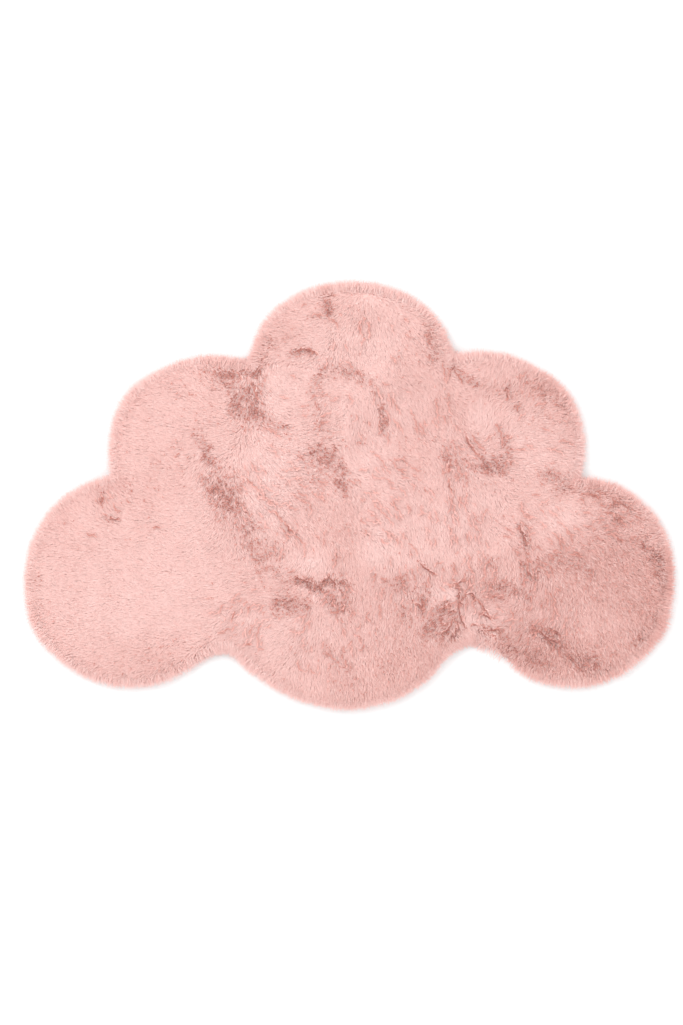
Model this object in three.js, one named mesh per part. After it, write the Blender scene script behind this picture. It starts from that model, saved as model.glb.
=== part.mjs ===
// Cloud shaped kids rug: one cut piece of long faux fur, lying flat with its pile up.
// Millimetres, +Z up. The origin is on the floor under the middle of the rug's box,
// +X runs along the longest side and +Y points away from the single bottom lobe.

import * as THREE from "three";
import { ConvexHull } from "three/addons/math/ConvexHull.js";

// Driving dimensions, in mm unless the name says otherwise
const RUG_LENGTH = 900;
const PILE_TOP = 18.6;
const LOCK_COUNT = 300;
const LOCK_ROOT_HEIGHT = 7.5;
const FLOOR_INSET = 9;
const ROLL_WIDTH = 30;
const ROLL_ROUNDNESS = 2.2;
const TOP_GRID = 12.2;
const UNDER_GRID = 48;
const GRID_JITTER = 0.22;
const RAYS = 2400;

// Insets from the outline of the rings between the locks and the flat of the pile
const ROOT_INSET = 8;
const SHOULDER_INSETS = [12.8, 18.5, 25];

// Shape of one lock's tip
const LOCK = { reach: 1.2, reachSpread: 3.4, lean: 0.36, height: 2.6, heightSpread: 1.2 };

// The cloud's lobes are ellipses; each is blended into those above it over its blend width
const LOBES = [
  { name: "top", x: 4, y: 198, rx: 136, ry: 100, blend: 0 },
  { name: "upper left", x: -198, y: 62, rx: 136, ry: 132, blend: 58 },
  { name: "upper right", x: 191, y: 66, rx: 137, ry: 134, blend: 45 },
  { name: "middle", x: -3, y: 20, rx: 200, ry: 150, blend: 10 },
  { name: "left", x: -305, y: -121, rx: 145, ry: 144, blend: 30 },
  { name: "left shoulder", x: -315, y: -107, rx: 132, ry: 134, blend: 10 },
  { name: "right", x: 310, y: -127, rx: 139, ry: 138, blend: 20 },
  { name: "right shoulder", x: 333, y: -90, rx: 112, ry: 113, blend: 25 },
  { name: "bottom", x: -3, y: -117, rx: 179, ry: 181, blend: 92 },
];
const CENTRE = new THREE.Vector2(-3, -45);

// Slow swells of the pile: heading in degrees, wave length and rise
const SWELLS = [
  { heading: 17, length: 330, rise: 0.8, phase: 0.6 },
  { heading: 78, length: 240, rise: 0.7, phase: 2.1 },
  { heading: 128, length: 165, rise: 0.6, phase: 4.0 },
];

// Lumps of clinging fur, from wide to narrow
const LUMPS = [
  { size: 46, rise: 1.1, kind: 1 },
  { size: 24, rise: 0.9, kind: 2 },
];

// Partings where the pile falls away to both sides, from one end to the other.
// bow is how far the middle is pushed to the left of the way from start to end.
const PARTINGS = [
  { name: "upper left hollow", x0: -144, y0: 176, x1: -136, y1: 108, bow: 4, width: 17, depth: 5.5 },
  { name: "its upper arm", x0: -138, y0: 168, x1: -120, y1: 204, bow: -4, width: 8, depth: 4 },
  { name: "its left arm", x0: -150, y0: 132, x1: -186, y1: 165, bow: 3, width: 8, depth: 4 },
  { name: "left seam, top", x0: -222, y0: 94, x1: -176, y1: 2, bow: 6, width: 9, depth: 3 },
  { name: "left seam, core", x0: -190, y0: 34, x1: -173, y1: -4, bow: 0, width: 12, depth: 5 },
  { name: "left seam, foot", x0: -173, y0: -4, x1: -94, y1: -124, bow: 7, width: 11, depth: 3.6 },
  { name: "short centre parting", x0: -34, y0: 58, x1: -8, y1: 12, bow: 0, width: 8, depth: 4 },
  { name: "round the middle tuft", x0: -44, y0: 108, x1: 42, y1: 106, bow: -26, width: 7, depth: 3 },
  { name: "spot by the middle tuft", x0: 44, y0: 112, x1: 50, y1: 98, bow: 0, width: 9, depth: 4 },
  { name: "round the right tuft", x0: 142, y0: 90, x1: 212, y1: 84, bow: -34, width: 7, depth: 4 },
  { name: "upright crease", x0: 143, y0: 46, x1: 144, y1: -34, bow: -3, width: 6, depth: 4.5 },
  { name: "right shoulder fleck", x0: 276, y0: 26, x1: 312, y1: 26, bow: 2, width: 8, depth: 3.5 },
  { name: "right slant", x0: 236, y0: -38, x1: 242, y1: -70, bow: 0, width: 7, depth: 3.2 },
  { name: "right level crease", x0: 200, y0: -128, x1: 246, y1: -131, bow: 3, width: 6, depth: 3.2 },
  { name: "thin bottom crease", x0: -82, y0: -116, x1: -5, y1: -125, bow: -3, width: 5, depth: 4 },
  { name: "bottom streak", x0: 46, y0: -140, x1: 106, y1: -126, bow: -3, width: 7, depth: 3.4 },
  { name: "star, upright arm", x0: 146, y0: -118, x1: 158, y1: -194, bow: 5, width: 9, depth: 5 },
  { name: "star, level arm", x0: 112, y0: -160, x1: 196, y1: -178, bow: 6, width: 8, depth: 4 },
  { name: "lower notch band", x0: 166, y0: -202, x1: 222, y1: -198, bow: 3, width: 12, depth: 3.4 },
  { name: "right lobe fleck", x0: 264, y0: -200, x1: 292, y1: -198, bow: 0, width: 9, depth: 3.2 },
  { name: "right lobe foot", x0: 297, y0: -237, x1: 350, y1: -234, bow: 4, width: 10, depth: 4 },
  { name: "right rim parting", x0: 430, y0: -78, x1: 430, y1: -138, bow: 3, width: 10, depth: 5 },
  { name: "right rim foot", x0: 421, y0: -172, x1: 417, y1: -198, bow: 0, width: 8, depth: 3 },
  { name: "left rim parting", x0: -437, y0: -104, x1: -433, y1: -150, bow: -2, width: 8, depth: 3 },
  { name: "top fleck", x0: -30, y0: 280, x1: -30, y1: 256, bow: 0, width: 9, depth: 3.2 },
  { name: "upper edge arc", x0: -78, y0: 208, x1: -46, y1: 204, bow: 5, width: 5, depth: 3.5 },
  { name: "upper right slant", x0: 112, y0: 232, x1: 166, y1: 164, bow: -5, width: 7, depth: 2.8 },
];
const RIDGE_SHARE = 0.32;
const DEEPEST_TROUGH = 7;

// A repeatable number from 0 to 1 for a pair of whole numbers
function chance(i, j, kind) {
  const wave = Math.sin(i * 127.1 + j * 311.7 + kind * 74.7) * 43758.5453;
  return wave - Math.floor(wave);
}

// Smooth noise from -1 to 1 whose lumps are about size across
function noise(x, y, size, kind) {
  const column = Math.floor(x / size);
  const row = Math.floor(y / size);
  const u = THREE.MathUtils.smoothstep(x / size - column, 0, 1);
  const v = THREE.MathUtils.smoothstep(y / size - row, 0, 1);
  const low = THREE.MathUtils.lerp(chance(column, row, kind), chance(column + 1, row, kind), u);
  const high = THREE.MathUtils.lerp(chance(column, row + 1, kind), chance(column + 1, row + 1, kind), u);
  return 2 * THREE.MathUtils.lerp(low, high, v) - 1;
}

// Rough distance from a point to an ellipse, negative inside
function ellipseDistance(lobe, x, y) {
  const px = (x - lobe.x) / lobe.rx;
  const py = (y - lobe.y) / lobe.ry;
  const size = Math.hypot(px, py);
  const slope = Math.hypot(px / lobe.rx, py / lobe.ry);
  return slope === 0 ? -Math.min(lobe.rx, lobe.ry) : (size * (size - 1)) / slope;
}

// Distance to the cloud's outline, negative inside
function cloudField(x, y) {
  let field = ellipseDistance(LOBES[0], x, y);
  for (const lobe of LOBES.slice(1)) {
    const next = ellipseDistance(lobe, x, y);
    const share = THREE.MathUtils.clamp(0.5 + (0.5 * (field - next)) / lobe.blend, 0, 1);
    field += (next - field) * share - lobe.blend * share * (1 - share);
  }
  return field;
}

// The point that lies inset from the outline on the ray that leaves the centre at an angle
function insetOnRay(angle, inset) {
  const ray = new THREE.Vector2(Math.cos(angle), Math.sin(angle));
  let inside = 0;
  let outside = RUG_LENGTH;
  for (let halving = 0; halving < 40; halving++) {
    const middle = (inside + outside) / 2;
    const field = cloudField(CENTRE.x + ray.x * middle, CENTRE.y + ray.y * middle);
    if (field < -inset) inside = middle;
    else outside = middle;
  }
  return CENTRE.clone().addScaledVector(ray, inside);
}

// Points an equal way apart along the line that lies inset from the outline
function evenRing(count, inset) {
  const fine = [];
  for (let ray = 0; ray <= RAYS; ray++) fine.push(insetOnRay((2 * Math.PI * ray) / RAYS, inset));
  const travelled = [0];
  for (let i = 1; i < fine.length; i++) travelled.push(travelled[i - 1] + fine[i].distanceTo(fine[i - 1]));
  const points = [];
  let at = 0;
  for (let i = 0; i < count; i++) {
    const goal = (travelled[RAYS] * i) / count;
    while (travelled[at + 1] <= goal) at++;
    const share = (goal - travelled[at]) / (travelled[at + 1] - travelled[at]);
    points.push(fine[at].clone().lerp(fine[at + 1], share));
  }
  return points;
}

// Walks from a point straight across the outline until it lies inset from it
function walkedTo(start, inset) {
  const steps = 16;
  const probe = 0.5;
  const point = start.clone();
  const first = cloudField(start.x, start.y);
  for (let step = 1; step <= steps; step++) {
    const slope = new THREE.Vector2(
      cloudField(point.x + probe, point.y) - cloudField(point.x - probe, point.y),
      cloudField(point.x, point.y + probe) - cloudField(point.x, point.y - probe),
    ).divideScalar(2 * probe);
    const goal = THREE.MathUtils.lerp(first, -inset, step / steps);
    const rise = goal - cloudField(point.x, point.y);
    point.addScaledVector(slope, rise / slope.lengthSq());
  }
  return point;
}

// Shortest way from a point to a parting's bowed line
function partingDistance(parting, x, y) {
  const start = new THREE.Vector2(parting.x0, parting.y0);
  const end = new THREE.Vector2(parting.x1, parting.y1);
  const along = end.clone().sub(start);
  const length = along.length();
  const share = THREE.MathUtils.clamp(((x - start.x) * along.x + (y - start.y) * along.y) / length ** 2, 0, 1);
  const bow = parting.bow * 4 * share * (1 - share);
  const nearX = start.x + along.x * share - (along.y / length) * bow;
  const nearY = start.y + along.y * share + (along.x / length) * bow;
  return Math.hypot(x - nearX, y - nearY);
}

// How far the partings lower the pile at a point, less the ridges beside them
function troughDepth(x, y) {
  let depth = 0;
  for (const parting of PARTINGS) {
    const away = partingDistance(parting, x, y) / parting.width;
    if (away > 4) continue;
    depth += parting.depth * (Math.exp(-away * away) - RIDGE_SHARE * Math.exp(-((away - 2) ** 2)));
  }
  return Math.min(depth, DEEPEST_TROUGH);
}

// Height of the pile at a point away from the rim
function pileHeight(x, y) {
  let height = PILE_TOP - troughDepth(x, y);
  for (const swell of SWELLS) {
    const heading = THREE.MathUtils.degToRad(swell.heading);
    const way = x * Math.cos(heading) + y * Math.sin(heading);
    height += swell.rise * Math.sin((2 * Math.PI * way) / swell.length + swell.phase);
  }
  for (const lump of LUMPS) height += lump.rise * noise(x, y, lump.size, lump.kind);
  return height;
}

// The share of the pile's height that is left at an inset from the outline, as the pile rolls over
function rollShare(inset) {
  const away = 1 - THREE.MathUtils.clamp(inset / ROLL_WIDTH, 0, 1);
  return 1 - away ** ROLL_ROUNDNESS;
}

function pointAt(flat, height) {
  return new THREE.Vector3(flat.x, flat.y, height);
}

// Points spacing apart on a jittered grid of triangles, half a spacing or more inside an inset
function jitteredGrid(spacing, inset) {
  const rowStep = spacing * Math.sin(Math.PI / 3);
  const jitter = GRID_JITTER * spacing;
  const half = RUG_LENGTH / 2;
  const points = [];
  for (let row = 0; row * rowStep < 2 * half; row++) {
    for (let column = 0; column * spacing < 2 * half; column++) {
      const x = (column + (row % 2) / 2) * spacing - half + jitter * (2 * chance(column, row, 3) - 1);
      const y = row * rowStep - half + jitter * (2 * chance(column, row, 4) - 1);
      if (cloudField(x, y) < -inset - spacing / 2) points.push(new THREE.Vector2(x, y));
    }
  }
  return points;
}

// Delaunay triangles of a ring and the points in it, facing up: the downward faces of the hull
// of the points lifted to a bowl, less those outside the ring
function joinFlat(ring, inner) {
  const points = [...ring, ...inner];
  const lifted = points.map((point, index) => {
    const vertex = new THREE.Vector3(point.x, point.y, point.lengthSq() / RUG_LENGTH);
    vertex.index = index;
    return vertex;
  });
  const hull = new ConvexHull().setFromPoints(lifted);
  const triangles = [];
  for (const face of hull.faces) {
    if (face.normal.z >= -1e-6) continue;
    const corners = [];
    let edge = face.edge;
    do {
      corners.push(edge.head().point.index);
      edge = edge.next;
    } while (edge !== face.edge);
    const [a, b, c] = corners;
    const middle = points[a].clone().add(points[b]).add(points[c]).divideScalar(3);
    if (isWithin(middle, ring)) triangles.push([a, c, b]);
  }
  return triangles;
}

// Whether a point keeps out of the circle over each edge of a ring, so that the ring's edges stay
function keepsEdges(point, ring) {
  return ring.every((corner, i) => {
    const before = ring[(i + ring.length - 1) % ring.length];
    return point.clone().sub(corner).dot(point.clone().sub(before)) > 0;
  });
}

// Whether a point lies inside a ring, by counting the edges to its right
function isWithin(point, ring) {
  let within = false;
  ring.forEach((corner, i) => {
    const before = ring[(i + ring.length - 1) % ring.length];
    const crosses = corner.y > point.y !== before.y > point.y;
    const x = before.x + ((corner.x - before.x) * (point.y - before.y)) / (corner.y - before.y);
    if (crosses && point.x < x) within = !within;
  });
  return within;
}

// One closed body: flat underside, a rim of locks, a rounded shoulder and the lumpy top
function furRugGeometry() {
  const vertices = [];
  const triangles = [];
  const addPoints = (points) => {
    const first = vertices.length;
    vertices.push(...points);
    return first;
  };
  const next = (i) => (i + 1) % LOCK_COUNT;

  // Underside on the floor
  const floorRing = evenRing(LOCK_COUNT, FLOOR_INSET);
  const floor = addPoints(floorRing.map((point) => pointAt(point, 0)));
  const underside = jitteredGrid(UNDER_GRID, FLOOR_INSET);
  addPoints(underside.map((point) => pointAt(point, 0)));
  for (const [a, b, c] of joinFlat(floorRing, underside)) triangles.push([floor + a, floor + c, floor + b]);

  // Locks: four sided tips on the wall above the floor ring, lying out over the floor
  const rootRing = floorRing.map((point) => walkedTo(point, ROOT_INSET));
  const root = addPoints(rootRing.map((point) => pointAt(point, LOCK_ROOT_HEIGHT)));
  for (let i = 0; i < LOCK_COUNT; i++) {
    const side = 0.5 + LOCK.lean * (2 * chance(i, 0, 5) - 1);
    const start = floorRing[i].clone().lerp(floorRing[next(i)], side);
    const reach = LOCK.reach + LOCK.reachSpread * (chance(i, 1, 6) - 0.5) + noise(i, 0, 5, 7);
    const height = LOCK.height + LOCK.heightSpread * (2 * chance(i, 2, 8) - 1);
    const tip = addPoints([pointAt(walkedTo(start, -reach), height)]);
    const corners = [floor + i, floor + next(i), root + next(i), root + i];
    corners.forEach((corner, k) => triangles.push([corner, corners[(k + 1) % 4], tip]));
  }

  // Top: rings that roll the pile over, then the grid, all joined inside the root ring
  const shoulders = SHOULDER_INSETS.flatMap((inset) => evenRing(LOCK_COUNT - Math.round(inset), inset));
  const flat = jitteredGrid(TOP_GRID, SHOULDER_INSETS.at(-1));
  const inner = [...shoulders, ...flat].filter((point) => keepsEdges(point, rootRing));
  const top = addPoints(inner.map((point) => {
    const share = rollShare(-cloudField(point.x, point.y));
    return pointAt(point, pileHeight(point.x, point.y) * share);
  }));
  const lookUp = (index) => (index < LOCK_COUNT ? root + index : top + index - LOCK_COUNT);
  for (const corners of joinFlat(rootRing, inner)) triangles.push(corners.map(lookUp));

  return closedGeometry(vertices, triangles);
}

// Scales the body to its stated length and puts the middle of its box over the origin
function closedGeometry(vertices, triangles) {
  const geometry = new THREE.BufferGeometry().setFromPoints(vertices);
  geometry.setIndex(triangles.flat());
  geometry.computeBoundingBox();
  const size = geometry.boundingBox.getSize(new THREE.Vector3());
  const middle = geometry.boundingBox.getCenter(new THREE.Vector3());
  const fit = RUG_LENGTH / size.x;
  geometry.translate(-middle.x, -middle.y, 0);
  geometry.scale(fit, fit, 1);
  geometry.computeVertexNormals();
  return geometry;
}

const furMaterial = new THREE.MeshStandardMaterial({ color: "#eebcb5", roughness: 0.95, metalness: 0 });

const furRug = new THREE.Mesh(furRugGeometry(), furMaterial);
furRug.name = "fur_rug";

const rug = new THREE.Group();
rug.add(furRug);

export default rug;
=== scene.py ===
import math

import bpy
import numpy as np
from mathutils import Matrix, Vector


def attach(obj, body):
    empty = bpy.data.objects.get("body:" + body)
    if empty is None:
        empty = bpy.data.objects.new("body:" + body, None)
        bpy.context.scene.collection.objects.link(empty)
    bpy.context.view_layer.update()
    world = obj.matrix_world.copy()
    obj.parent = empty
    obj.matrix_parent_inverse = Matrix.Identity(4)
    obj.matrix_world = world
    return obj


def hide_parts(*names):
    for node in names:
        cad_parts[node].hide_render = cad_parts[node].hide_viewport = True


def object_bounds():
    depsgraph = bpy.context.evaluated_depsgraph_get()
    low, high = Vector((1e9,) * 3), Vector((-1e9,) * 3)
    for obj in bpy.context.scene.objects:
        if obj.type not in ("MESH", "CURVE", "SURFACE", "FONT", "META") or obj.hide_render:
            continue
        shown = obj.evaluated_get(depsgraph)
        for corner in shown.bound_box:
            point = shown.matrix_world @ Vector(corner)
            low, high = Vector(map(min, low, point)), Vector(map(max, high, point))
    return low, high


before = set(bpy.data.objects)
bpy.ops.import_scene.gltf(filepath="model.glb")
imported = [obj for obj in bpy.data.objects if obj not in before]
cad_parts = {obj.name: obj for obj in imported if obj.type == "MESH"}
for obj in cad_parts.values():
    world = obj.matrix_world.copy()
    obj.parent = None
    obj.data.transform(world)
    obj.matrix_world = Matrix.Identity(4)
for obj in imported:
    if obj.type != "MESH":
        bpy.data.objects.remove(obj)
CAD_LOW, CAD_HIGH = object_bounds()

# Looks of a cloud shaped kids rug of long faux fur, lying flat with its pile up.
# Blender works in metres. The tables and shapes below are drawn in millimetres, on the same
# drawing as the solid: +X along the longest side, +Y away from the single bottom lobe, +Z up.
MM = 0.001

# The drawing's own length and middle, which are laid over the frame's box
DRAWN_LENGTH = 906.2
DRAWN_MIDDLE = (-0.4, 0.6)
FIT = (CAD_HIGH.x - CAD_LOW.x) / MM / DRAWN_LENGTH

# Pile, in mm
PILE_TOP = 18.6
ROLL_WIDTH = 30
ROLL_ROUNDNESS = 2.2
BED_BELOW_TOP = 5.0
TIPS_ABOVE_BED = 5.4
ROOTS_BELOW_BED = 0.8
MARK_DEPTH = 3.5
CLOTH_THICKNESS = 1.5
CLOTH_INSET = 10
BED_INSET = 8

# Strands are spaced by the pitch of their net, in mm, and the rim's are given by their number
STRAND_PITCH = 1.26
RIM_STRANDS = 38000
TUFT_PITCH = 4.6
FLECK_PITCH = 2.1
RIPPLE_PITCH = 9


def columns(names, rows):
    """A table of rows as a dict with one array for each named column."""
    return dict(zip(names.split(), np.array(rows, float).T))


# The cloud's lobes are ellipses; each is blended into those above it over its blend width
LOBES = (
    dict(x=4, y=198, rx=136, ry=100, blend=1),
    dict(x=-198, y=62, rx=136, ry=132, blend=58),
    dict(x=191, y=66, rx=137, ry=134, blend=45),
    dict(x=-3, y=20, rx=200, ry=150, blend=10),
    dict(x=-305, y=-121, rx=145, ry=144, blend=30),
    dict(x=-315, y=-107, rx=132, ry=134, blend=10),
    dict(x=310, y=-127, rx=139, ry=138, blend=20),
    dict(x=333, y=-90, rx=112, ry=113, blend=25),
    dict(x=-3, y=-117, rx=179, ry=181, blend=92),
)
CENTRE = (-3, -45)

# Slow swells and clinging lumps of the pile
SWELLS = (
    dict(heading=17, length=330, rise=0.8, phase=0.6),
    dict(heading=78, length=240, rise=0.7, phase=2.1),
    dict(heading=128, length=165, rise=0.6, phase=4.0),
)
LUMPS = (dict(size=46, rise=1.1, kind=1), dict(size=24, rise=0.9, kind=2))

# Partings and flecks where the pile stands up or falls away. There the bed and strands are painted darker
# and dark flecks lie on top: painted shade in the parting.
# bow pushes the middle to the left of the way from start to end.
MARKS = columns("x0 y0 x1 y1 bow width shade", [
    # top lobe
    (-30, 284, -27, 262, 0, 9, 0.50),
    (-52, 250, -40, 252, 3, 4, 0.25),
    (-80, 199, -45, 198, 5, 5, 0.38),
    (112, 236, 114, 222, 0, 10, 0.26),
    (116, 204, 117, 196, 0, 9, 0.34),
    (142, 198, 144, 176, 0, 7, 0.48),
    (156, 172, 176, 155, 0, 6, 0.28),
    # hollow at the upper left, with its spurs
    (-117, 212, -132, 190, 0, 12, 0.46),
    (-154, 180, -132, 174, 0, 14, 0.58),
    (-162, 158, -130, 148, 0, 16, 0.36),
    (-150, 138, -132, 130, 0, 13, 0.36),
    (-158, 120, -126, 106, 0, 14, 0.44),
    (-200, 178, -170, 170, 0, 11, 0.34),
    (-120, 112, -82, 88, 0, 7, 0.26),
    # long seam at the left
    (-213, 86, -192, 52, 3, 7, 0.34),
    (-192, 52, -180, 24, 0, 14, 0.32),
    (-184, 20, -170, -2, 0, 20, 0.30),
    (-166, -10, -146, -44, 0, 18, 0.22),
    (-142, -52, -112, -98, -3, 18, 0.22),
    (-109, -68, -92, -78, 0, 10, 0.16),
    # middle
    (-44, 64, -24, 56, 0, 14, 0.42),
    (-24, 48, -10, 14, 3, 12, 0.46),
    (-62, 52, -48, 26, 0, 16, 0.17),
    (-40, 172, 0, 172, 5, 10, 0.26),
    (0, 172, 38, 142, 6, 9, 0.24),
    (-42, 168, -42, 96, -4, 10, 0.18),
    (44, 122, 46, 94, 3, 7, 0.48),
    (-34, 86, 34, 88, -12, 7, 0.16),
    # upper right, round its tuft
    (220, 150, 221, 138, 0, 5, 0.42),
    (233, 126, 235, 120, 0, 4, 0.36),
    (248, 160, 306, 134, -5, 13, 0.13),
    (212, 88, 216, 54, 6, 8, 0.26),
    (184, 46, 210, 42, -4, 11, 0.58),
    (136, 62, 164, 40, 0, 12, 0.30),
    (276, 30, 304, 18, 2, 11, 0.42),
    (314, 18, 348, 8, 0, 9, 0.22),
    # right lobe
    (236, -40, 247, -66, 0, 7, 0.44),
    (243, -96, 256, -110, 0, 8, 0.46),
    (266, -90, 334, -104, 4, 12, 0.18),
    (198, -124, 246, -134, 3, 8, 0.42),
    (366, -12, 392, -20, 7, 6, 0.26),
    (366, -18, 384, -36, -6, 5, 0.24),
    (408, -58, 410, -72, 0, 5, 0.26),
    (428, -82, 438, -128, 3, 10, 0.58),
    (428, -176, 406, -202, 3, 12, 0.40),
    (264, -184, 294, -204, -2, 9, 0.44),
    (262, -226, 274, -230, 0, 12, 0.26),
    (304, -222, 314, -229, 0, 8, 0.34),
    (326, -230, 356, -242, 0, 13, 0.48),
    (172, -192, 226, -212, 4, 13, 0.42),
    (226, -212, 254, -226, 0, 12, 0.26),
    # between the bottom and right lobes
    (150, -139, 154, -146, 0, 4, 0.50),
    (124, -190, 166, -203, 0, 13, 0.38),
    (124, -160, 146, -176, 0, 12, 0.22),
    (84, -162, 112, -184, 0, 17, 0.22),
    (71, -122, 104, -140, 3, 12, 0.28),
    (100, -140, 106, -160, 0, 6, 0.30),
    (196, -92, 206, -104, 0, 12, 0.16),
    # bottom lobe
    (-76, -115, -52, -121, 0, 5, 0.50),
    (-52, -121, -42, -126, 0, 5, 0.54),
    (-42, -126, -28, -114, 0, 5, 0.46),
    (-28, -114, -20, -121, 0, 5, 0.46),
    (-15, -118, -2, -124, 0, 8, 0.50),
    (-89, -124, -84, -144, 0, 8, 0.24),
    (-96, -150, -68, -152, 0, 13, 0.42),
    (-34, -132, -6, -146, 0, 14, 0.36),
    (-24, -220, 0, -248, 2, 10, 0.20),
    (42, -236, 56, -246, 0, 11, 0.12),
    # left lobe
    (-352, 12, -346, -10, 5, 4, 0.24),
    (-314, 20, -304, 8, 4, 6, 0.20),
    (-338, -32, -324, -33, 0, 4, 0.36),
    (-240, 66, -226, 42, 0, 9, 0.12),
    (-441, -108, -441, -122, 0, 9, 0.42),
    (-436, -150, -432, -164, 0, 8, 0.28),
])

# Single dark lines where tufts part, painted shade laid as dark blades over the pile. A strong one has a
# light lip on its upper side, a painted highlight.
CREASES = columns("x0 y0 x1 y1 bow shade", [
    # between the bottom and right lobes
    (97, -90, 121, -109, -2, 0.70),
    (83, -96, 94, -119, 1, 0.35),
    (144, -88, 148, -108, 1, 0.45),
    (141, -124, 162, -116, -1, 0.55),
    (150, -122, 154, -141, 1, 0.90),
    (152, -140, 155, -148, 0, 1.00),
    (154, -146, 163, -183, -4, 0.80),
    (160, -141, 176, -145, 8, 0.80),
    (176, -141, 198, -171, 1, 0.55),
    (184, -162, 198, -171, 0, 0.80),
    (194, -137, 214, -141, -2, 0.50),
    (164, -184, 210, -185, -3, 0.75),
    (168, -179, 182, -181, 1, 0.60),
    (86, -149, 103, -158, 3, 0.55),
    (99, -139, 105, -161, 2, 0.50),
    (125, -157, 139, -150, -2, 0.85),
    (136, -165, 149, -161, 2, 0.80),
    (127, -167, 131, -177, -2, 0.55),
    (145, -169, 129, -191, 4, 0.65),
    (151, -175, 149, -189, 2, 0.65),
    (140, -187, 147, -201, 2, 0.60),
    (157, -193, 159, -201, 0, 0.60),
    (170, -121, 162, -133, 1, 0.40),
    (198, -86, 190, -96, 1, 0.35),
    (118, -100, 130, -92, 2, 0.35),
    # bottom lobe
    (-76, -115, -52, -121, 1, 0.80),
    (-52, -121, -42, -126, 0, 0.80),
    (-42, -126, -28, -113, 1, 0.75),
    (-28, -113, -20, -121, 0, 0.75),
    (-29, -158, -10, -158, -4, 0.45),
    (-93, -104, -77, -103, -3, 0.45),
    (41, -113, 56, -122, 1, 0.45),
    (62, -110, 78, -124, 2, 0.40),
    (-54, -228, -47, -246, -5, 0.35),
    (-70, -226, -62, -244, -5, 0.30),
    (-37, -216, -20, -228, 2, 0.35),
    # lower left
    (-155, -160, -163, -173, -2, 0.45),
    (-172, -150, -180, -162, -2, 0.35),
    (-130, -178, -138, -191, -2, 0.45),
    (-118, -176, -128, -198, -3, 0.40),
    (-168, -212, -136, -206, 2, 0.50),
    (-180, -190, -160, -184, 1, 0.35),
    (-150, -134, -162, -146, -2, 0.30),
    (-112, -150, -124, -160, -2, 0.30),
    # left lobe
    (-352, 12, -346, -10, 5, 0.50),
    (-338, -33, -322, -33, 1, 0.65),
    (-368, -51, -352, -55, -1, 0.40),
    (-275, -43, -264, -43, 0, 0.45),
    # upper left and middle
    (-224, 142, -219, 141, 0, 0.45),
    (-149, 33, -118, 4, -2, 0.40),
    (-128, 14, -104, -12, -2, 0.35),
    (-106, -18, -93, -35, 1, 0.50),
    (-90, -34, -78, -51, -1, 0.58),
    (-76, -53, -64, -66, 1, 0.42),
    (-96, -40, -84, -58, 1, 0.40),
    (-120, 96, -96, 82, 2, 0.35),
    (-130, 156, -126, 136, -3, 0.60),
    (-162, 176, -150, 164, 2, 0.55),
    (-52, 250, -38, 252, 3, 0.35),
    (-30, 247, -16, 236, 4, 0.40),
    (-78, 200, -45, 199, 5, 0.60),
    (53, 143, 71, 117, 1, 0.35),
    (85, 122, 96, 89, 2, 0.35),
    (60, 108, 76, 90, 2, 0.25),
    (26, 66, 52, 40, 3, 0.28),
    (30, -8, 62, -40, 2, 0.30),
    (50, -4, 74, -26, 2, 0.28),
    (76, -60, 96, -80, 2, 0.35),
    (44, -44, 60, -62, 2, 0.28),
    (-34, -40, -36, -68, 1, 0.28),
    (-18, -72, -20, -98, 1, 0.28),
    # upper right
    (139, 184, 137, 160, 1, 0.24),
    (138, 150, 141, 118, -1, 0.22),
    (142, 56, 138, 34, 1, 0.58),
    (139, 29, 143, 6, -1, 0.54),
    (144, 1, 140, -22, 1, 0.48),
    (161, 36, 165, 15, 1, 0.34),
    (165, 7, 162, -17, -1, 0.30),
    (151, 4, 154, -14, 1, 0.26),
    (150, -22, 153, -42, 1, 0.24),
    (162, 92, 182, 56, -4, 0.60),
    (170, 96, 188, 66, -4, 0.40),
    (196, 108, 214, 70, 6, 0.40),
    (128, 190, 134, 160, 2, 0.35),
    (120, 140, 124, 110, 1, 0.25),
    (144, 176, 158, 158, 2, 0.45),
    (220, 151, 221, 138, 0, 0.60),
    (234, 126, 235, 119, 0, 0.50),
    (284, 128, 298, 121, 2, 0.40),
    (290, 80, 316, 70, 2, 0.25),
    (276, 66, 300, 58, 2, 0.22),
    # right lobe
    (236, -40, 247, -66, 1, 0.65),
    (326, 4, 350, -4, 2, 0.45),
    (366, -12, 390, -22, 7, 0.45),
    (368, -20, 382, -34, -6, 0.40),
    (408, -62, 411, -73, 0, 0.50),
    (282, -50, 296, -74, 4, 0.35),
    (296, -44, 312, -66, 4, 0.30),
    (262, -184, 292, -204, -3, 0.80),
    (272, -182, 296, -198, 3, 0.50),
    (248, -98, 256, -112, -2, 0.60),
    (304, -222, 314, -229, 0, 0.50),
    (252, -34, 240, -10, 3, 0.28),
])

# Beside a strong crease the pile is parted too
BESIDE_CREASES = {**CREASES, "width": np.full(len(CREASES["x0"]), 3.0),
                  "shade": 0.9 * np.maximum(CREASES["shade"] - 0.35, 0)}

# Where the tips lie in fine ripples, and the share of the net's points there that have one. Each ripple
# is drawn as a faint dark line, painted shade.
RIPPLES = columns("x y rx ry share", [
    (-100, 10, 50, 60, 0.55),
    (-80, -60, 40, 30, 0.40),
    (60, 0, 60, 70, 0.30),
    (120, 60, 50, 60, 0.22),
    (150, -40, 50, 50, 0.40),
    (160, -130, 60, 50, 0.50),
    (60, -120, 50, 30, 0.35),
    (40, 120, 60, 50, 0.18),
    (-60, 130, 50, 40, 0.14),
    (20, 230, 80, 50, 0.18),
    (270, -60, 60, 50, 0.40),
    (360, -30, 50, 40, 0.40),
    (250, -160, 60, 50, 0.35),
    (-140, -180, 50, 40, 0.45),
    (-20, -180, 70, 50, 0.30),
    (250, 100, 60, 60, 0.16),
    (-340, 0, 40, 30, 0.14),
])
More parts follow.
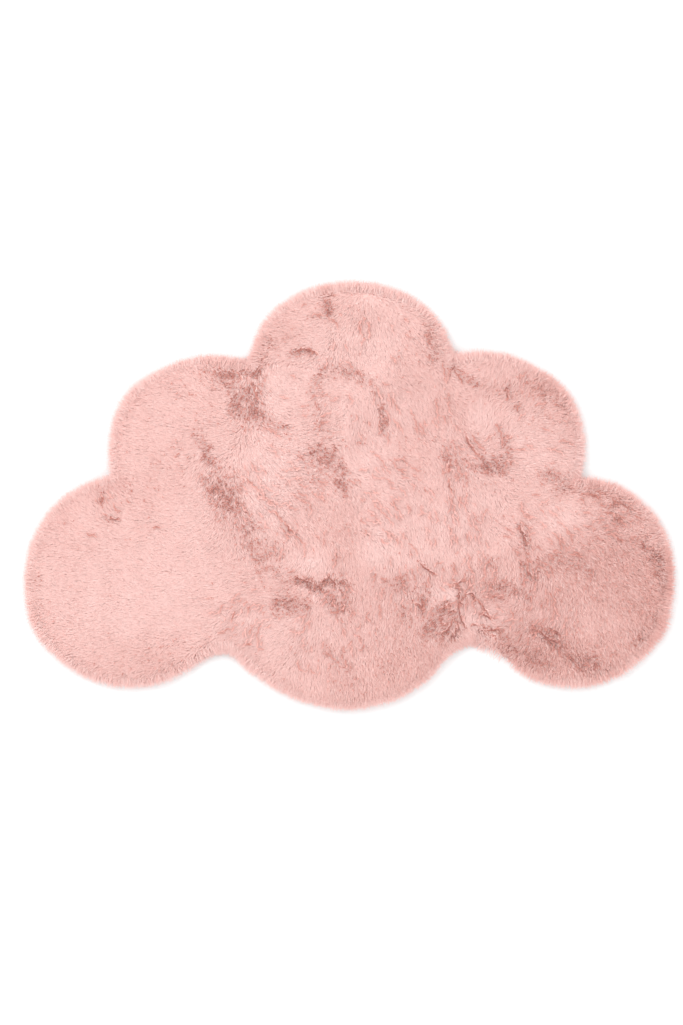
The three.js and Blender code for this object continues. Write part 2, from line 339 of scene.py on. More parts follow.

# Broad painted light and shade on the pile, lighter above 0: lighter on the left and where the nap or a
# tuft's top catches the light, darker on the right and lower right.
LIGHT_AND_SHADE = columns("x y rx ry tone", [
    (-303, -130, 110, 100, 0.17),
    (-247, 80, 85, 70, 0.03),
    (-265, -215, 70, 30, -0.14),
    (-317, 8, 36, 22, -0.14),
    (-205, -40, 30, 60, 0.11),
    (-200, -130, 35, 40, 0.03),
    (-120, -10, 30, 40, 0.24),
    (-112, 40, 45, 50, 0.14),
    (-88, 152, 34, 34, 0.16),
    (-90, 60, 40, 40, 0.10),
    (-53, -88, 28, 16, 0.30),
    (-106, -165, 30, 22, 0.14),
    (-125, -195, 45, 35, 0.14),
    (38, -64, 24, 36, 0.26),
    (100, -30, 40, 40, 0.12),
    (85, -80, 25, 25, 0.12),
    (30, -106, 24, 16, -0.10),
    (85, 64, 30, 30, -0.12),
    (10, 190, 60, 60, 0.12),
    (-26, 210, 30, 30, 0.10),
    (52, 215, 45, 40, 0.14),
    (30, 60, 40, 60, 0.12),
    (-2, 126, 26, 26, 0.10),
    (71, 126, 18, 18, 0.12),
    (182, 104, 18, 24, 0.26),
    (252, 80, 40, 34, 0.17),
    (252, 45, 30, 26, 0.03),
    (189, -5, 26, 20, 0.16),
    (293, -26, 30, 26, 0.30),
    (342, -172, 45, 30, 0.10),
    (180, -166, 17, 15, 0.34),
    (209, -161, 12, 11, 0.26),
    (129, -133, 20, 13, 0.30),
    (360, -150, 95, 90, -0.28),
    (415, -150, 26, 26, -0.10),
    (385, -60, 60, 60, -0.22),
    (425, -120, 30, 60, -0.14),
    (425, -55, 22, 30, 0.06),
    (438, -112, 16, 50, -0.12),
    (424, -190, 20, 30, -0.10),
    (307, 60, 30, 26, 0.12),
    (200, 142, 30, 20, -0.20),
    (-247, -230, 30, 18, -0.12),
    (285, -220, 75, 34, -0.36),
    (293, -82, 60, 18, -0.12),
    (335, 10, 55, 20, -0.26),
    (279, 150, 36, 16, -0.24),
    (293, 120, 50, 50, -0.18),
    (200, -150, 60, 50, -0.12),
    (125, -150, 35, 35, 0.10),
    (155, -50, 45, 45, 0.08),
    (40, -155, 55, 30, -0.10),
    (30, -190, 30, 24, 0.06),
    (85, -225, 65, 45, -0.22),
    (-5, -245, 50, 30, -0.12),
    (-12, -50, 32, 50, -0.18),
    (-81, -124, 26, 30, -0.09),
    (-137, 147, 26, 30, 0.22),
    (141, -19, 26, 26, 0.12),
    (85, 189, 30, 26, -0.13),
    (-81, 228, 24, 24, -0.10),
    (-5, 30, 40, 60, 0.12),
    (108, 225, 30, 30, -0.12),
    (150, 130, 34, 50, -0.10),
])

# Which way the tips of the pile lie, heading in degrees from +X towards +Y
LAY = columns("x y heading reach", [
    (-331, -130, 178, 95),
    (-358, -19, 160, 60),
    (-303, -234, 196, 60),
    (-400, -100, 184, 50),
    (-335, 12, 118, 28),
    (-261, 92, 174, 75),
    (-206, 161, 150, 45),
    (-213, 8, 188, 38),
    (-142, 140, -62, 30),
    (-81, 140, -4, 36),
    (-116, 36, -22, 38),
    (-118, -19, -48, 42),
    (-185, 22, -64, 22),
    (-143, -61, -52, 32),
    (-53, 57, -8, 30),
    (-19, 36, -64, 18),
    (-26, -61, -88, 38),
    (37, 43, -24, 32),
    (66, 20, -58, 26),
    (53, -33, -42, 36),
    (99, -33, -70, 28),
    (148, -6, -84, 34),
    (71, 119, -52, 36),
    (127, 202, -40, 44),
    (-2, 258, -150, 40),
    (-70, 235, 176, 40),
    (20, 215, -74, 40),
    (70, 262, -30, 40),
    (215, 160, 70, 36),
    (290, 120, 30, 46),
    (252, 50, -18, 40),
    (285, -30, -28, 34),
    (330, 0, -12, 40),
    (300, -80, -60, 40),
    (390, -60, -30, 50),
    (350, -180, -72, 60),
    (250, -180, -130, 40),
    (60, -160, -96, 40),
    (0, -230, -92, 60),
    (-110, -190, -142, 50),
    (90, -240, -70, 50),
    (-170, -130, 170, 60),
])

# Round tufts brushed into a whorl, turning left where turn is above 0
WHORLS = columns("x y radius turn", [
    (-2, 126, 44, -0.9),
    (178, 82, 32, 1.0),
    (180, -166, 24, 1.6),
    (209, -161, 18, 1.2),
    (152, -150, 26, -1.2),
    (-120, -160, 24, 0.7),
])

# Where the fur of the rim is pressed in or shorter, in mm
WORN_RIM = columns("x y radius loss", [
    (135, -235, 24, 7.0),
    (96, -270, 26, 3.0),
    (40, -293, 45, 3.0),
    (-50, -291, 42, 3.2),
    (-143, -237, 24, -5.0),
    (-218, -239, 22, -1.0),
    (-435, -185, 40, -4.0),
    (435, -187, 40, -4.5),
    (203, -214, 20, -9.0),
    (170, -210, 20, -1.5),
    (361, -255, 30, -1.0),
    (-312, 134, 30, -3.0),
    (-176, 193, 22, -2.5),
    (175, 200, 22, -2.5),
    (-255, 182, 30, 2.5),
    (255, 185, 25, 2.4),
    (309, 135, 25, -2.5),
    (404, -2, 30, 2.5),
])

# Colours of the fur, red, green and blue from 0 to 1 as light. The deep, dark and root colours are
# painted shade: in creases, flecks and partings, and deep among the strands.
DEEP_SHADE_FUR = (0.200, 0.070, 0.066)
SHADED_FUR = (0.520, 0.225, 0.190)
MIDDLE_FUR = (0.835, 0.470, 0.420)
LIGHT_FUR = (0.945, 0.672, 0.634)
SHADED_ROOT_FUR = (0.560, 0.215, 0.175)
BACK_CLOTH = (0.760, 0.590, 0.540)
FLOOR_WHITE = (0.900, 0.900, 0.900)

# Tones, from 0 deep to 1 light, of each kind of strand and of the bed where the fur is neither broadly
# light nor dark. BED_TONE lies below PILE_TONE as painted shade under the strands, and RIM_TONE above
# it as painted light at the rim. FLECK_TONE is where a fleck starts to be darkened.
PILE_TONE = 0.80
RIM_TONE = 0.87
BED_TONE = 0.66
CREASE_TONE = 0.64
FLECK_TONE = 0.50

# The pile starts to stand up where its broad tone is below the first, and does fully this far below it
DARK_BELOW = 0.16
DARK_SPAN = 0.6

SEED = 20


def chance(i, j, kind):
    """A repeatable number from 0 to 1 for whole numbers: the fraction of a large sine."""
    wave = np.sin(i * 127.1 + j * 311.7 + kind * 74.7) * 43758.5453
    return wave - np.floor(wave)


def ease(share):
    """An S curve from 0 to 1: three squares less two cubes."""
    share = np.clip(share, 0, 1)
    return share * share * (3 - 2 * share)


def noise(x, y, size, kind):
    """Smooth noise from -1 to 1: chances at the corners of a square net, blended by S curves."""
    column, row = np.floor(x / size), np.floor(y / size)
    u, v = ease(x / size - column), ease(y / size - row)
    low = chance(column, row, kind) * (1 - u) + chance(column + 1, row, kind) * u
    high = chance(column, row + 1, kind) * (1 - u) + chance(column + 1, row + 1, kind) * u
    return 2 * (low * (1 - v) + high * v) - 1


def ellipse_distance(lobe, x, y):
    """Rough distance to an ellipse, below 0 inside: k(k-1)/g with k the scaled radius, g its slope."""
    px, py = (x - lobe["x"]) / lobe["rx"], (y - lobe["y"]) / lobe["ry"]
    size = np.hypot(px, py)
    slope = np.maximum(np.hypot(px / lobe["rx"], py / lobe["ry"]), 1e-9)
    return size * (size - 1) / slope


def cloud_field(x, y):
    """Distance to the cloud's outline, below 0 inside: the soft least of the lobes' distances."""
    field = ellipse_distance(LOBES[0], x, y)
    for lobe in LOBES[1:]:
        nearer = ellipse_distance(lobe, x, y)
        share = np.clip(0.5 + 0.5 * (field - nearer) / lobe["blend"], 0, 1)
        field = field + (nearer - field) * share - lobe["blend"] * share * (1 - share)
    return field


def outward(x, y, step=2.0):
    """Unit vector straight out across the outline: the field's slope by central differences."""
    across = cloud_field(x + step, y) - cloud_field(x - step, y)
    along = cloud_field(x, y + step) - cloud_field(x, y - step)
    size = np.maximum(np.hypot(across, along), 1e-9)
    return across / size, along / size


def reach(angle, inset):
    """How far a ray from the centre goes until it lies inset from the outline, by halving."""
    near, far = np.zeros(np.broadcast(angle, inset).shape), 600.0
    far = near + far
    for _ in range(34):
        middle = (near + far) / 2
        field = cloud_field(CENTRE[0] + middle * np.cos(angle), CENTRE[1] + middle * np.sin(angle))
        near = np.where(field < -inset, middle, near)
        far = np.where(field < -inset, far, middle)
    return near


def mark_share(marks, x, y, ragged=0.0):
    """How strongly each point is parted, 0 to 1: one less the product of what each mark spares.

    A mark is a bowed line, and its strength falls off as exp(-(distance/width)^2.5). ragged moves
    the distance by noise, so that the edges of a mark are uneven.
    """
    spared = np.ones(x.shape)
    edge = noise(x, y, 9, 21) + 0.6 * noise(x, y, 4, 22)
    for i in range(len(marks["x0"])):
        mark = {name: values[i] for name, values in marks.items()}
        near = np.abs(x - mark["x0"]) + np.abs(y - mark["y0"]) < 120 + 4 * mark["width"]
        px, py = x[near] - mark["x0"], y[near] - mark["y0"]
        ax, ay = mark["x1"] - mark["x0"], mark["y1"] - mark["y0"]
        length = math.hypot(ax, ay)
        share = np.clip((px * ax + py * ay) / length ** 2, 0, 1)
        bow = mark["bow"] * 4 * share * (1 - share)
        away = np.hypot(px - ax * share + ay / length * bow, py - ay * share - ax / length * bow)
        away = away / mark["width"] + ragged * edge[near]
        spared[near] *= 1 - mark["shade"] * np.exp(-np.maximum(away, 0) ** 2.5)
    return 1 - spared


def parted_share(x, y, ragged=0.0):
    """How strongly each point is parted by the marks and beside the creases together."""
    return 1 - (1 - mark_share(MARKS, x, y, ragged)) * (1 - mark_share(BESIDE_CREASES, x, y, ragged))


def light_and_shade_sum(x, y):
    """Broad painted light and shade: the sum of bell shaped blots over their radii, with slow noise."""
    tone = 0.05 * noise(x, y, 60, 31) + 0.03 * noise(x, y, 26, 32)
    for cx, cy, rx, ry, amount in zip(*LIGHT_AND_SHADE.values()):
        tone = tone + amount * np.exp(-(((x - cx) / rx) ** 2 + ((y - cy) / ry) ** 2))
    return tone


def dark_share(x, y):
    """How much the pile stands up at each point, 0 to 1, because the broad painted shade is dark there.
    """
    return ease((DARK_BELOW - light_and_shade_sum(x, y) + 0.08 * noise(x, y, 22, 71)) / DARK_SPAN)


def lay_heading(x, y):
    """Heading of the pile in radians: bell weighted mean of the brushed headings, plus whorls."""
    along, across = np.zeros_like(x), np.zeros_like(x)
    for cx, cy, heading, radius in zip(*LAY.values()):
        weight = np.exp(-((x - cx) ** 2 + (y - cy) ** 2) / (2 * radius ** 2)) + 1e-6
        along += weight * math.cos(math.radians(heading))
        across += weight * math.sin(math.radians(heading))
    size = np.maximum(np.hypot(along, across), 1e-6)
    along, across = along / size, across / size
    for cx, cy, radius, turn in zip(*WHORLS.values()):
        dx, dy = (x - cx) / radius, (y - cy) / radius
        weight = 2.4 * turn * np.exp(-(dx ** 2 + dy ** 2))
        along -= weight * dy
        across += weight * dx
    along += 0.35 * noise(x, y, 42, 41) + 0.22 * noise(x, y, 17, 43)
    across += 0.35 * noise(x, y, 42, 42) + 0.22 * noise(x, y, 17, 44)
    return np.arctan2(across, along)


def pile_height(x, y):
    """Top of the pile in mm: its height with swells and lumps, less troughs at the marks."""
    height = PILE_TOP - MARK_DEPTH * mark_share(MARKS, x, y)
    for swell in SWELLS:
        heading = math.radians(swell["heading"])
        way = x * math.cos(heading) + y * math.sin(heading)
        height += swell["rise"] * np.sin(2 * math.pi * way / swell["length"] + swell["phase"])
    for lump in LUMPS:
        height += lump["rise"] * noise(x, y, lump["size"], lump["kind"])
    return height


def roll_share(inset):
    """Share of the height left at an inset: one less a power of the way to the outline."""
    return 1 - (1 - np.clip(inset / ROLL_WIDTH, 0, 1)) ** ROLL_ROUNDNESS


def placed(x, y, z):
    """Points of the drawing as metres in the row's frame."""
    across = (x - DRAWN_MIDDLE[0]) * FIT * MM
    along = (y - DRAWN_MIDDLE[1]) * FIT * MM
    return np.stack(np.broadcast_arrays(across, along, np.asarray(z) * MM), axis=-1)


def new_piece(name, points, corners, starts, finish):
    """A mesh object from arrays: points, the corners of all faces in a row, and where each starts."""
    mesh = bpy.data.meshes.new(name)
    mesh.vertices.add(len(points))
    mesh.vertices.foreach_set("co", np.ascontiguousarray(points, np.float32).ravel())
    mesh.loops.add(len(corners))
    mesh.loops.foreach_set("vertex_index", corners.astype(np.int32))
    mesh.polygons.add(len(starts))
    mesh.polygons.foreach_set("loop_start", starts.astype(np.int32))
    mesh.polygons.foreach_set("use_smooth", np.ones(len(starts), bool))
    mesh.update(calc_edges=True)
    mesh.materials.append(finish)
    piece = bpy.data.objects.new(name, mesh)
    bpy.context.scene.collection.objects.link(piece)
    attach(piece, "root")
    return piece


def round_grid(rings, turns):
    """Quads between rings of points that close on themselves, ring after ring, outwards up."""
    ring, turn = np.meshgrid(np.arange(rings - 1), np.arange(turns), indexing="ij")
    here = ring * turns + turn
    beside = ring * turns + (turn + 1) % turns
    return np.stack([here, beside, beside + turns, here + turns], axis=-1).reshape(-1, 4)


def closed_slab(insets, heights, turns):
    """A slab between rings on rays from the centre, and a fan at each of its two middle points.

    insets and heights hold one row for each ring, from the underside's middle outwards, round
    the rim and back over the top, so that every face points out.
    """
    angle = np.arange(turns) * 2 * math.pi / turns
    points = []
    for inset, height in zip(insets, heights):
        radius = inset(angle)
        x, y = CENTRE[0] + radius * np.cos(angle), CENTRE[1] + radius * np.sin(angle)
        points.append(placed(x, y, height(x, y)))
    rings = len(points)
    x, y = np.array([CENTRE], float).T
    middle = [placed(x, y, heights[0](x, y)), placed(x, y, heights[-1](x, y))]
    quads = round_grid(rings, turns)
    last = (rings - 1) * turns
    around = np.arange(turns)
    beside = (around + 1) % turns
    under = np.stack([np.full(turns, rings * turns), beside, around], axis=-1)
    over = np.stack([last + around, last + beside, np.full(turns, rings * turns + 1)], axis=-1)
    corners = np.concatenate([quads.ravel(), under.ravel(), over.ravel()])
    sizes = np.concatenate([np.full(len(quads), 4), np.full(2 * turns, 3)])
    starts = np.concatenate([[0], np.cumsum(sizes)[:-1]])
    return np.concatenate(points + middle), corners, starts


def ring_at(inset):
    """A ring that lies inset from the outline."""
    return lambda angle: reach(angle, np.full_like(angle, inset))


def ring_share(inset, share):
    """A ring at a share of the way from the centre to the one at an inset."""
    return lambda angle: share * reach(angle, np.full_like(angle, inset))


def level(height):
    """A height that is the same all over."""
    return lambda x, y: np.full_like(x, height)


class Socket:
    """A shader value. Python's operators on it add the Math nodes that work them out."""

    def __init__(self, tree, link):
        self.tree = tree
        self.link = link

    def math(self, operation, *others):
        node = add_node(self.tree, "ShaderNodeMath", {"operation": operation}, [self, *others])
        return Socket(self.tree, node.outputs[0])

    def __add__(self, other):
        return self.math("ADD", other)

    def __sub__(self, other):
        return self.math("SUBTRACT", other)

    def __mul__(self, other):
        return self.math("MULTIPLY", other)

    def __rsub__(self, other):
        return (self * -1).math("ADD", other)

    def __pow__(self, other):
        return self.math("POWER", other)

    __radd__ = __add__
    __rmul__ = __mul__

    def held(self, low, high):
        return self.math("MAXIMUM", low).math("MINIMUM", high)


def add_node(tree, kind, settings, inputs):
    """Adds a node, sets what settings names, then gives its inputs, by order or name."""
    node = tree.nodes.new(kind)
    for name, value in settings.items():
        setattr(node, name, value)
    named = inputs.items() if isinstance(inputs, dict) else enumerate(inputs)
    for key, value in named:
        if isinstance(value, Socket):
            tree.links.new(value.link, node.inputs[key])
        else:
            node.inputs[key].default_value = value
    return node


def blended(tree, share, low, high):
    """The colour that lies a share of the way from low to high."""
    settings = {"data_type": "RGBA", "blend_type": "MIX"}
    low, high = [value if isinstance(value, Socket) else (*value, 1) for value in (low, high)]
    node = add_node(tree, "ShaderNodeMix", settings, {0: share, 6: low, 7: high})
    return Socket(tree, node.outputs[2])


def new_finish(name, constants):
    """A material with a plain Principled surface, and its tree and shader."""
    finish = bpy.data.materials.new(name)
    finish.use_nodes = True
    tree = finish.node_tree
    shader = tree.nodes["Principled BSDF"]
    for key, value in constants.items():
        shader.inputs[key].default_value = value
    return finish, tree, shader


def fur_colour(tree, tone):
    """The fur's colour for a tone: deep at 0, dark at 0.2, middle at a half and light at 1; the deep and
    dark ends are painted shade.
    """
    low = blended(tree, (tone * 5).held(0, 1), DEEP_SHADE_FUR, SHADED_FUR)
    middle = blended(tree, (tone * 3.33 - 0.67).held(0, 1), low, MIDDLE_FUR)
    return blended(tree, (tone * 2 - 1).held(0, 1), middle, LIGHT_FUR)


def fur_finish():
    """Strand colour by its own map: tone across it, and the way from root to tip up it.

    The root's colour, painted shade deep in the pile, fades as a power of the way left to the tip, and
    less on light strands.
    """
    finish, tree, shader = new_finish("rose faux fur", {"Roughness": 0.85, "Specular IOR Level": 0.25})
    place = add_node(tree, "ShaderNodeUVMap", {"uv_map": "OFBake"}, [])
    split = add_node(tree, "ShaderNodeSeparateXYZ", {}, [Socket(tree, place.outputs[0])])
    tone, share = Socket(tree, split.outputs[0]), Socket(tree, split.outputs[1])
    # Painted shade: each strand darkens towards its root.
    rooted = ((1 - share) ** 1.6 * (1.0 - tone * 0.9)).held(0, 1)
    colour = blended(tree, rooted, fur_colour(tree, tone), SHADED_ROOT_FUR)
    tree.links.new(colour.link, shader.inputs["Base Color"])
    return finish


def bed_finish():
    """Dense short fur under the strands: its own tone, which holds painted shade, mottled by noise on the
    object's place.
    """
    finish, tree, shader = new_finish("dense under fur", {"Roughness": 0.95, "Specular IOR Level": 0.15})
    place = add_node(tree, "ShaderNodeTexCoord", {}, [])
    spots_per_metre = 420.0
    spots = add_node(tree, "ShaderNodeTexNoise", {}, {
        "Vector": Socket(tree, place.outputs["Object"]), "Scale": spots_per_metre,
        "Detail": 2.0, "Roughness": 0.6})
    own = add_node(tree, "ShaderNodeAttribute", {"attribute_name": "tone"}, [])
    tone = Socket(tree, own.outputs["Fac"]) + Socket(tree, spots.outputs[0]) * 0.5 - 0.25
    colour = fur_colour(tree, tone.held(0, 1))
    tree.links.new(colour.link, shader.inputs["Base Color"])
    return finish


def cloth_finish():
    """Knitted ground cloth: fine ribs of stitches as bump, and a faint darkening where the stitches are
    low, painted shade in the knit's hollows.
    """
    finish, tree, shader = new_finish("knitted back", {"Roughness": 0.9, "Specular IOR Level": 0.2})
    place = add_node(tree, "ShaderNodeTexCoord", {}, [])
    split = add_node(tree, "ShaderNodeSeparateXYZ", {}, [Socket(tree, place.outputs["Object"])])
    wale_pitch, course_pitch = 0.0022, 0.0016
    x, y = Socket(tree, split.outputs[0]), Socket(tree, split.outputs[1])
    wale = (x * (2 * math.pi / wale_pitch)).math("SINE")
    course = (y * (2 * math.pi / course_pitch) + wale * 1.2).math("SINE")
    stitch = wale * 0.3 + course * 0.2 + 0.5
    # Painted shade: darker where the stitches are low.
    colour = blended(tree, stitch.held(0, 1), tuple(0.82 * value for value in BACK_CLOTH), BACK_CLOTH)
    tree.links.new(colour.link, shader.inputs["Base Color"])
    bump = add_node(tree, "ShaderNodeBump", {}, {"Strength": 0.5, "Distance": 0.0004, "Height": stitch})
    tree.links.new(bump.outputs[0], shader.inputs["Normal"])
    return finish


def ground_cloth():
    """The cut piece of knitted cloth on the floor: a thin slab inset from the tips of the pile."""
    shares = (0.25, 0.5, 0.75)
    insets = [ring_share(CLOTH_INSET, share) for share in shares] + [ring_at(CLOTH_INSET)] * 2
    insets += [ring_share(CLOTH_INSET, share) for share in reversed(shares)]
    heights = [level(0.0)] * 4 + [level(CLOTH_THICKNESS)] * 4
    points, corners, starts = closed_slab(insets, heights, 480)
    return new_piece("ground_cloth", points, corners, starts, cloth_finish())


def bed_top(x, y):
    """Top of the dense fur: the pile's top less what the strands stand over it, rolled at the rim."""
    share = roll_share(-cloud_field(x, y))
    top = (pile_height(x, y) - BED_BELOW_TOP) * share
    ragged = 0.2 * noise(x, y, 5, 51) + 0.16 * noise(x, y, 2.6, 52)
    return np.maximum(top + ragged * share, CLOTH_THICKNESS + 0.6)


def pile_bed():
    """The dense fur under the strands: a closed slab whose top follows the pile, finer at the rim."""
    floor = CLOTH_THICKNESS + 0.15
    rim_insets = (BED_INSET, 9, 10.5, 12.5, 15.5, 19, 24)
    shares = np.linspace(1, 0.02, 50)[1:]
    insets = [ring_share(BED_INSET, 0.5), ring_at(BED_INSET + 1)]
    insets += [ring_at(inset) for inset in rim_insets]
    insets += [ring_share(rim_insets[-1], share) for share in shares]
    heights = [level(floor)] * 2 + [bed_top] * (len(insets) - 2)
    points, corners, starts = closed_slab(insets, heights, 520)
    piece = new_piece("pile_bed", points, corners, starts, bed_finish())
    flat_map(piece, points)
    x, y = (points[:, :2] / MM / FIT + np.array(DRAWN_MIDDLE)).T
    tone = bed_tone(x, y, parted_share(x, y))
    layer = piece.data.attributes.new("tone", "FLOAT", "POINT")
    layer.data.foreach_set("value", tone.astype(np.float32))
    return piece


def bed_tone(x, y, parted):
    """Tone of the dense fur: near that of the strands where they lie flat but a little below it, and dark
    where parted; both are painted shade deep in the pile.
    """
    return np.clip(BED_TONE + 0.45 * light_and_shade_sum(x, y) - 0.22 * parted, 0, 1)


def flat_map(piece, points):
    """A map that looks straight down on the piece, as large as fits the unit square."""
    corners = np.empty(len(piece.data.loops), np.int32)
    piece.data.loops.foreach_get("vertex_index", corners)
    low = points[:, :2].min(axis=0)
    side = (points[:, :2].max(axis=0) - low).max()
    layer = piece.data.uv_layers.new(name="OFBake")
    layer.data.foreach_set("uv", ((points[corners, :2] - low) / side).astype(np.float32).ravel())


def net_points(pitch, rng):
    """Points of a net of triangles, each moved at random by up to half the pitch, over the cloud."""
    rows = np.arange(-330, 330, pitch * math.sin(math.pi / 3))
    across = np.arange(-480, 480, pitch)
    x, y = np.meshgrid(across, rows)
    x = x + (np.arange(len(rows)) % 2 * pitch / 2)[:, None]
    x = x + rng.uniform(-0.5, 0.5, x.shape) * pitch
    y = y + rng.uniform(-0.5, 0.5, y.shape) * pitch
    return x.ravel(), y.ravel()


def tuft_of(x, y):
    """The centre of the tuft that each point belongs to: the nearest of nine jittered net points."""
    column, row = np.floor(x / TUFT_PITCH), np.floor(y / TUFT_PITCH)
    best = np.full(x.shape, np.inf)
    centre_x, centre_y = np.zeros_like(x), np.zeros_like(x)
    for i in (-1, 0, 1):
        for j in (-1, 0, 1):
            cx = (column + i + chance(column + i, row + j, 61)) * TUFT_PITCH
            cy = (row + j + chance(column + i, row + j, 62)) * TUFT_PITCH
            away = (x - cx) ** 2 + (y - cy) ** 2
            nearer = away < best
            best = np.where(nearer, away, best)
            centre_x, centre_y = np.where(nearer, cx, centre_x), np.where(nearer, cy, centre_y)
    return centre_x, centre_y


def tuft_chances(tuft_x, tuft_y, kinds):
    """For each kind, a number from -1 to 1 that all strands of a tuft share."""
    return [2 * chance(np.round(tuft_x * 9), np.round(tuft_y * 9), kind) - 1 for kind in kinds]


def lying(length, start, end, share):
    """How far along and up a strand is at a share of its length, as its slope turns evenly from
    start to end, in radians from upright: the integrals of the sine and the cosine."""
    turn = end - start
    now = start + turn * share
    return length * (np.cos(start) - np.cos(now)) / turn, length * (np.sin(now) - np.sin(start)) / turn


# Shares of a strand's length at its cross sections, and its width there
STATIONS = (0.0, 0.5, 1.0)
WIDTHS = (0.9, 1.0, 0.0)

# A strand is lit as part of a soft mass: its normals lean towards up, and apart at its two edges
UPWARD_SHARE = 0.55
SIDE_TILT = 0.4

# No strand reaches lower than this, in mm
LOWEST_TIP = 0.3

# Half the width that a strand takes on its map of tones
MAP_HALF_WIDTH = 0.003


def strand_piece(name, strands, finish):
    """Bent tapered blades as one mesh: a quad and a tip each, from arrays of their measures."""
    count = len(strands["x"])
    points, normals, maps = [], [], []
    along = np.stack([np.cos(strands["heading"]), np.sin(strands["heading"])], axis=-1)
    side = np.stack([-along[:, 1], along[:, 0]], axis=-1)
    for station, width in zip(STATIONS, WIDTHS):
        forward, up = lying(strands["length"], strands["start"], strands["end"], station)
        drift = strands["curl"] * strands["length"] * station ** 2
        pull = (strands["pull"] * station ** 1.4)[:, None] * strands["gather"]
        flat = np.stack([strands["x"], strands["y"]], axis=-1)
        flat = flat + along * forward[:, None] + side * drift[:, None] + pull
        slope = strands["start"] + (strands["end"] - strands["start"]) * station
        facing = np.concatenate([-along * np.cos(slope)[:, None], np.sin(slope)[:, None]], axis=-1)
        level_side = np.concatenate([side, np.zeros((count, 1))], axis=-1)
        roll = strands["roll"][:, None]
        half_width = (strands["width"] * width / 2)[:, None]
        half = (level_side * np.cos(roll) + facing * np.sin(roll)) * half_width
        middle = np.concatenate([flat, (strands["z"] + up)[:, None]], axis=-1)
        soft = (1 - UPWARD_SHARE) * facing + UPWARD_SHARE * strands["up"]
        for hand in ((-1, 1) if width else (0,)):
            spot = middle + hand * half
            points.append(placed(spot[:, 0], spot[:, 1], np.maximum(spot[:, 2], LOWEST_TIP)))
            tilted = soft + hand * SIDE_TILT * level_side
            normals.append(tilted / np.linalg.norm(tilted, axis=1, keepdims=True))
            across = strands["tone"] + hand * MAP_HALF_WIDTH
            maps.append(np.stack([across, np.full(count, 0.02 + 0.96 * station)], axis=-1))
    per = len(points)
    order = np.arange(count)[:, None] * per
    faces = np.array([0, 2, 3, 1, 2, 4, 3])
    corners = (order + faces).ravel()
    starts = (np.arange(count)[:, None] * len(faces) + np.array([0, 4])).ravel()
    points, normals, maps = [np.stack(part, axis=1).reshape(count * per, -1)
                             for part in (points, normals, maps)]
    piece = new_piece(name, points, corners, starts, finish)
    layer = piece.data.uv_layers.new(name="OFBake")
    layer.data.foreach_set("uv", maps[corners].astype(np.float32).ravel())
    piece.data.normals_split_custom_set_from_vertices(normals.astype(np.float32))
    return piece


def ripple_lines(rng):
    """Rows like those of the creases, painted shade, for faint ripples along the lay, where the net's
    points have one.
    """
    x, y = net_points(RIPPLE_PITCH, rng)
    share = np.zeros_like(x)
    for cx, cy, rx, ry, amount in zip(*RIPPLES.values()):
        share = np.maximum(share, amount * np.exp(-(((x - cx) / rx) ** 2 + ((y - cy) / ry) ** 2) ** 2))
    kept = (cloud_field(x, y) < -14) & (rng.random(len(x)) < share)
    x, y = x[kept], y[kept]
    count = len(x)
    heading = lay_heading(x, y) + rng.normal(0, 0.25, count)
    half = rng.uniform(3, 9, count)
    across, along = half * np.cos(heading), half * np.sin(heading)
    bow, shade = rng.normal(0, 1.4, count), rng.uniform(0.10, 0.36, count)
    return np.stack([x - across, y - along, x + across, y + along, bow, shade], axis=1)


# Along a crease, in mm: how far apart its blades start, its wave, and how far off its lip lies
BLADE_PITCH = 1.3
WAVE_LENGTH = 9
LIP_OFFSET = 2.0


def crease_strands(rng):
    """Dark blades laid along each crease on top of the pile as painted shade, and light ones along a
    strong one's lip as a painted highlight.

    A crease is a bowed line with a slight wave, and its blades follow its tangent, some of them
    left out. The faint ripples are short creases too.
    """
    rows = []
    lines = np.concatenate([np.stack(list(CREASES.values()), axis=1), ripple_lines(rng)])
    for x0, y0, x1, y1, bow, shade in lines:
        ax, ay = x1 - x0, y1 - y0
        length = math.hypot(ax, ay)
        phase, swing = rng.uniform(0, 2 * math.pi), 0.9 * (1 - shade)
        turns = 2 * math.pi * length / WAVE_LENGTH
        for lip in (0, 1) if shade > 0.5 else (0,):
            share = np.arange(0, 1, BLADE_PITCH / length) + rng.uniform(0, 0.3, 1)
            share = share[(share < 1) & (rng.random(len(share)) < 0.6 + 0.5 * shade)]
            wave = swing * np.sin(share * turns + phase)
            off = bow * 4 * share * (1 - share) + wave + rng.normal(0, 0.28 + 0.3 * lip, len(share))
            off += LIP_OFFSET * lip * (1 if ax > 0 else -1)
            slope = bow * 4 * (1 - 2 * share) + swing * turns * np.cos(share * turns + phase)
            heading = math.atan2(ay, ax) + np.arctan(slope / length) + rng.normal(0, 0.16, len(share))
            fade = np.sqrt(np.clip(4 * share * (1 - share), 0.15, 1))
            # Painted shade on the dark blades, a painted highlight on the lip's light ones.
            tone = -0.98 * shade * fade if lip == 0 else 0.02 + 0.14 * shade * fade
            x, y = x0 + ax * share - ay / length * off, y0 + ay * share + ax / length * off
            rows.append(np.stack([x, y, heading, tone, np.full_like(share, lip)]))
    x, y, heading, tone, lip = np.concatenate(rows, axis=1)
    count = len(x)
    root_z = bed_top(x, y) + (TIPS_ABOVE_BED - 0.8 * lip) * roll_share(-cloud_field(x, y))
    return dict(
        x=x, y=y, z=root_z, heading=heading, start=np.full(count, 1.45), end=np.full(count, 1.66),
        length=rng.uniform(3.5, 6.0, count), gather=np.zeros((count, 2)), pull=np.zeros(count),
        curl=rng.normal(0, 0.08, count), roll=rng.normal(0, 0.2, count),
        width=rng.uniform(1.0, 1.8, count),
        tone=np.clip(CREASE_TONE + 0.5 * light_and_shade_sum(x, y) + tone + rng.normal(0, 0.05, count), 0.02, 0.98),
        up=np.tile((0.0, 0.0, 1.0), (count, 1)))


